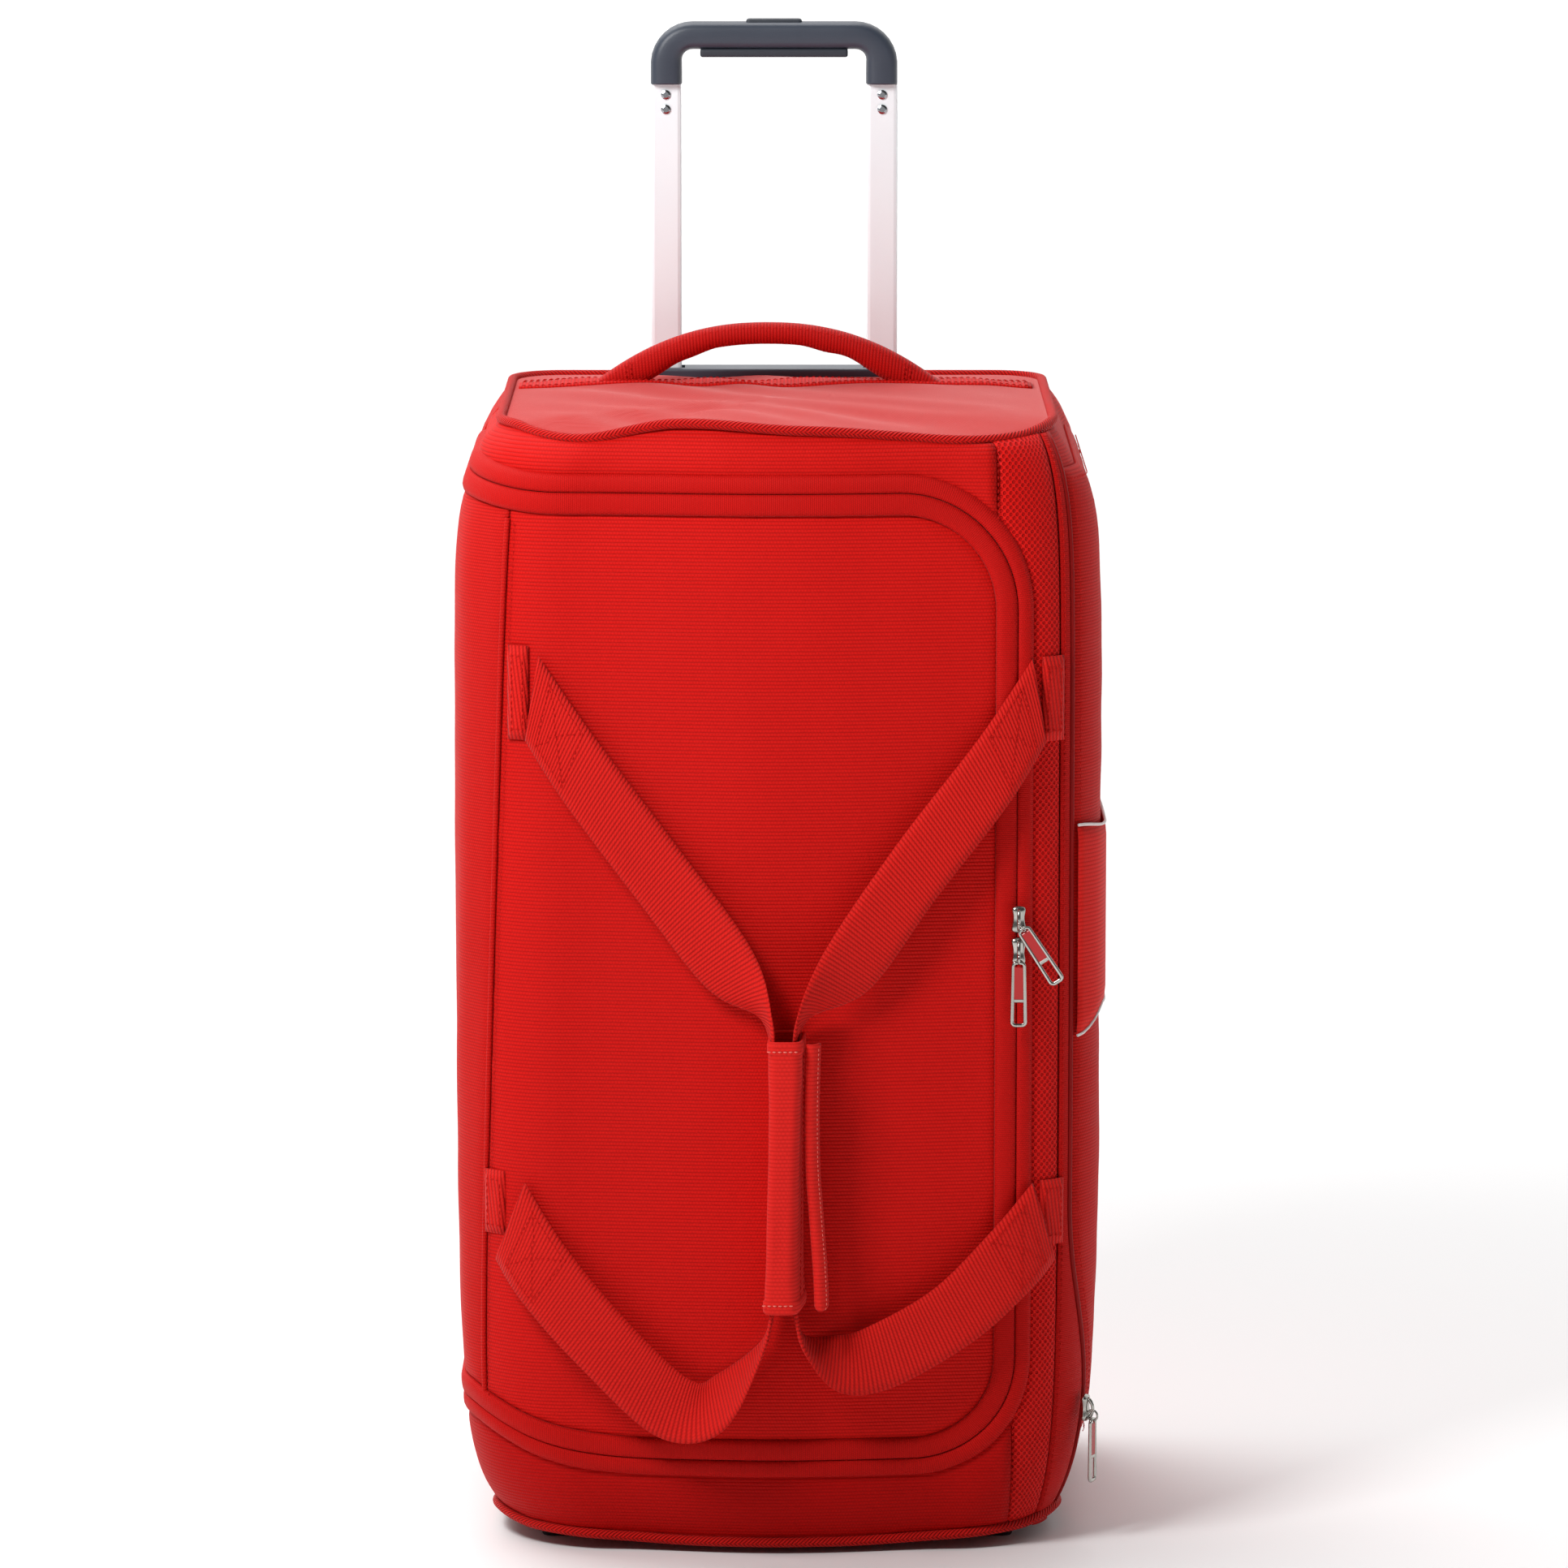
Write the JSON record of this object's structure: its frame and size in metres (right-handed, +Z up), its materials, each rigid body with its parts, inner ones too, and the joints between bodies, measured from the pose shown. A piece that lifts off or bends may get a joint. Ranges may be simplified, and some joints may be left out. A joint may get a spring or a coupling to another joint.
{
  "type": "rolling duffel bag",
  "caption": "Soft wheeled duffel bag with a U-shaped zip flap, wrapped carry straps, a top grab handle and a telescoping trolley handle.",
  "frame": {"origin": "on the floor under the middle of the bag", "axes": "+Z up, +X to the right of a person facing the front, front faces -Y, trolley at +Y"},
  "size_m": [0.3929, 0.3915, 0.9063],
  "materials": {
    "shell_fabric": "woven polyester in bright red, fine horizontal ribs, slight sheen",
    "strap_webbing": "red nylon webbing, ribbed across",
    "zip_tape": "red woven zip tape and band",
    "mesh_fabric": "deep red spacer mesh",
    "piping_rope": "red herringbone piping",
    "base_fabric": "coated red base fabric",
    "lining_fabric": "grey lining",
    "stiffener_board": "grey polypropylene board",
    "grip_plastic": "slate grey moulded plastic, fine grain",
    "grip_soft_insert": "dark soft-touch underside",
    "wheel_plastic": "black moulded plastic",
    "tube_aluminium": "satin silver anodised tube",
    "steel": "polished steel",
    "zip_metal": "nickel plated zinc with red enamel inlay",
    "tyre_rubber": "black polyurethane"
  },
  "bodies": {
    "root": {"back_panel": "shell_fabric", "top_end_panel": "shell_fabric", "bottom_end_panel": "base_fabric", "upper_front_band": "shell_fabric", "lower_front_band": "shell_fabric", "left_side_panel": "shell_fabric", "mesh_corner_panel": "mesh_fabric", "pocket_zip_tape": "zip_tape", "side_pocket_panel": "shell_fabric", "side_pocket_lining": "lining_fabric", "side_pocket_patch": "shell_fabric", "main_zip_body_tape": "zip_tape", "top_piping": "piping_rope", "bottom_piping": "piping_rope", "handle_patch_right_upper": "strap_webbing", "handle_patch_right_lower": "strap_webbing", "back_stiffener_board": "stiffener_board", "base_board": "stiffener_board", "trolley_bezel": "grip_plastic", "trolley_foot_bracket": "wheel_plastic", "trolley_outer_tube_left": "tube_aluminium", "trolley_outer_tube_right": "tube_aluminium", "wheel_housing_left": "wheel_plastic", "wheel_housing_right": "wheel_plastic", "wheel_axle_left": "steel", "wheel_axle_right": "steel", "front_foot_left": "wheel_plastic", "front_foot_right": "wheel_plastic"},
    "flap": {"flap_front_panel": "shell_fabric", "flap_side_panel": "shell_fabric", "main_zip_flap_tape": "zip_tape", "handle_patch_left_upper": "strap_webbing", "handle_patch_left_lower": "strap_webbing"},
    "left_handle": {"left_carry_strap": "strap_webbing", "grip_wrap": "shell_fabric"},
    "right_handle": {"right_carry_strap": "strap_webbing"},
    "grab_handle": {"top_grab_handle": "strap_webbing"},
    "upper_slider": {"main_zip_slider_upper": "zip_metal"},
    "upper_pull": {"main_zip_pull_upper": "zip_metal"},
    "lower_slider": {"main_zip_slider_lower": "zip_metal"},
    "lower_pull": {"main_zip_pull_lower": "zip_metal"},
    "pocket_slider": {"pocket_zip_slider": "zip_metal"},
    "pocket_pull": {"pocket_zip_pull": "zip_metal"},
    "trolley_lower_stage": {"trolley_middle_tube_left": "tube_aluminium", "trolley_middle_tube_right": "tube_aluminium"},
    "trolley_upper_stage": {"trolley_inner_tube_left": "tube_aluminium", "trolley_inner_tube_right": "tube_aluminium", "trolley_grip": "grip_plastic", "trolley_grip_insert": "grip_soft_insert", "grip_rivet_upper_left": "steel", "grip_rivet_upper_right": "steel", "grip_rivet_lower_left": "steel", "grip_rivet_lower_right": "steel"},
    "release_button": {"trolley_release_button": "grip_plastic"},
    "wheel_left": {"tyre_left": "tyre_rubber", "wheel_hub_left": "wheel_plastic"},
    "wheel_right": {"tyre_right": "tyre_rubber", "wheel_hub_right": "wheel_plastic"}
  },
  "joints": [
    {"name": "main_flap_opening", "type": "hinge", "parent": "root", "child": "flap", "pos_m": [-0.1955, 0.012, 0.35], "axis": [0, 0, -1], "range_deg": [0, 105], "deforming": ["right_carry_strap"]},
    {"name": "left_handle_swing", "type": "hinge", "parent": "flap", "child": "left_handle", "pos_m": [-0.154, -0.145, 0.35], "axis": [0, 0, -1], "range_deg": [0, 120], "deforming": ["left_carry_strap", "grip_wrap"]},
    {"name": "right_handle_swing", "type": "hinge", "parent": "root", "child": "right_handle", "pos_m": [0.162, -0.139, 0.35], "axis": [0, 0, 1], "range_deg": [0, 120]},
    {"name": "grab_handle_tilt", "type": "hinge", "parent": "root", "child": "grab_handle", "pos_m": [-0.002, 0.105, 0.6905], "axis": [1, 0, 0], "range_deg": [-55, 60]},
    {"name": "upper_slider_run", "type": "slide", "parent": "root", "child": "upper_slider", "axis": [0, 0, 1], "range_m": [0, 0.065]},
    {"name": "upper_pull_swing", "type": "hinge", "parent": "upper_slider", "child": "upper_pull", "pos_m": [0.144, -0.1546, 0.3881], "axis": [-0.8387, 0, -0.5446], "range_deg": [0, 150]},
    {"name": "lower_slider_run", "type": "slide", "parent": "root", "child": "lower_slider", "axis": [0, 0, 1], "range_m": [-0.13, 0]},
    {"name": "lower_pull_swing", "type": "hinge", "parent": "lower_slider", "child": "lower_pull", "pos_m": [0.144, -0.1546, 0.369], "axis": [-1, 0, 0], "range_deg": [0, 120]},
    {"name": "pocket_slider_run", "type": "slide", "parent": "root", "child": "pocket_slider", "axis": [-0.0318, -0.0505, 0.9982], "range_m": [0, 0.33]},
    {"name": "pocket_pull_swing", "type": "hinge", "parent": "pocket_slider", "child": "pocket_pull", "pos_m": [0.19518, -0.113, 0.0805], "axis": [-0.454, -0.891, 0], "range_deg": [0, 150]},
    {"name": "trolley_lower_slide", "type": "slide", "parent": "root", "child": "trolley_lower_stage", "axis": [0, 0, 1], "range_m": [0, 0.17]},
    {"name": "trolley_upper_slide", "type": "slide", "parent": "trolley_lower_stage", "child": "trolley_upper_stage", "axis": [0, 0, 1], "range_m": [-0.175, 0]},
    {"name": "release_button_press", "type": "slide", "parent": "trolley_upper_stage", "child": "release_button", "axis": [0, 0, -1], "range_m": [0, 0.0028], "stiffness_N_per_m": 300},
    {"name": "wheel_left_spin", "type": "hinge", "parent": "root", "child": "wheel_left", "pos_m": [-0.135, 0.16, 0.032], "axis": [1, 0, 0], "continuous": true},
    {"name": "wheel_right_spin", "type": "hinge", "parent": "root", "child": "wheel_right", "pos_m": [0.135, 0.16, 0.032], "axis": [1, 0, 0], "continuous": true}
  ]
}
